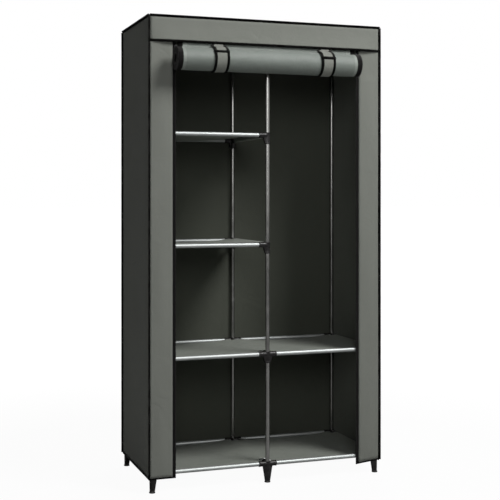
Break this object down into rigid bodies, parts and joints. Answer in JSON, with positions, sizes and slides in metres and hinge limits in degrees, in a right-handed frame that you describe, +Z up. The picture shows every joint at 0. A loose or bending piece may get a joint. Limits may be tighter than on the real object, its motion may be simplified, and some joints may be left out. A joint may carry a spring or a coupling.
{
  "type": "portable fabric wardrobe",
  "caption": "Tube-framed wardrobe in a stitched cloth cover, with hung cloth shelves, a hanging space and a roll-up zipped door held by straps",
  "frame": {"origin": "middle of the footprint at floor level, under the middle of the whole object's box", "axes": "+X to the right seen from the front, +Y to the back, +Z up; the open front faces -Y"},
  "size_m": [0.9, 0.5354, 1.7],
  "materials": {
    "steel_tube": "drawn steel tube, satin",
    "joint_plastic": "moulded black-brown plastic",
    "zip_slider": "black enamelled",
    "cover_cloth": "woven grey-green cloth",
    "shelf_cloth": "woven grey-green cloth",
    "door_cloth": "woven grey-green cloth"
  },
  "bodies": {
    "root": {"cover": "cover_cloth", "front_left_post": "steel_tube", "back_left_post": "steel_tube", "front_left_base_joint": "joint_plastic", "front_left_lower_joint": "joint_plastic", "front_left_middle_joint": "joint_plastic", "front_left_upper_joint": "joint_plastic", "front_left_top_joint": "joint_plastic", "left_base_rung": "steel_tube", "left_lower_rung": "steel_tube", "left_middle_rung": "steel_tube", "left_upper_rung": "steel_tube", "left_top_rung": "steel_tube", "front_centre_post": "steel_tube", "back_centre_post": "steel_tube", "front_centre_base_joint": "joint_plastic", "front_centre_lower_joint": "joint_plastic", "front_centre_middle_joint": "joint_plastic", "front_centre_upper_joint": "joint_plastic", "front_centre_top_joint": "joint_plastic", "centre_base_rung": "steel_tube", "centre_lower_rung": "steel_tube", "centre_middle_rung": "steel_tube", "centre_upper_rung": "steel_tube", "centre_top_rung": "steel_tube", "front_right_post": "steel_tube", "back_right_post": "steel_tube", "front_right_base_joint": "joint_plastic", "front_right_lower_joint": "joint_plastic", "front_right_top_joint": "joint_plastic", "right_base_rung": "steel_tube", "right_lower_rung": "steel_tube", "right_top_rung": "steel_tube", "front_left_base_rail": "steel_tube", "front_left_lower_rail": "steel_tube", "front_left_middle_rail": "steel_tube", "front_left_upper_rail": "steel_tube", "front_left_top_rail": "steel_tube", "front_right_base_rail": "steel_tube", "front_right_lower_rail": "steel_tube", "front_right_top_rail": "steel_tube", "back_left_base_rail": "steel_tube", "back_left_lower_rail": "steel_tube", "back_left_middle_rail": "steel_tube", "back_left_upper_rail": "steel_tube", "back_left_top_rail": "steel_tube", "back_right_base_rail": "steel_tube", "back_right_lower_rail": "steel_tube", "back_right_top_rail": "steel_tube", "base_shelf": "shelf_cloth", "lower_shelf": "shelf_cloth", "middle_shelf": "shelf_cloth", "upper_shelf": "shelf_cloth", "hanging_rod": "steel_tube", "roll_strap_left": "door_cloth", "roll_strap_right": "door_cloth"},
    "door_roll": {"door_roll": "door_cloth"},
    "zip_slider_left": {"zip_slider_left": "zip_slider"},
    "zip_slider_right": {"zip_slider_right": "zip_slider"}
  },
  "joints": [
    {"name": "door_unroll", "type": "slide", "parent": "root", "child": "door_roll", "axis": [0, 0, -1], "range_m": [0, 1.44], "deforming": ["roll_strap_left", "roll_strap_right"]},
    {"name": "zip_slide_left", "type": "slide", "parent": "root", "child": "zip_slider_left", "axis": [0, 0, -1], "range_m": [0, 1.5]},
    {"name": "zip_slide_right", "type": "slide", "parent": "root", "child": "zip_slider_right", "axis": [0, 0, -1], "range_m": [0, 1.5]}
  ]
}
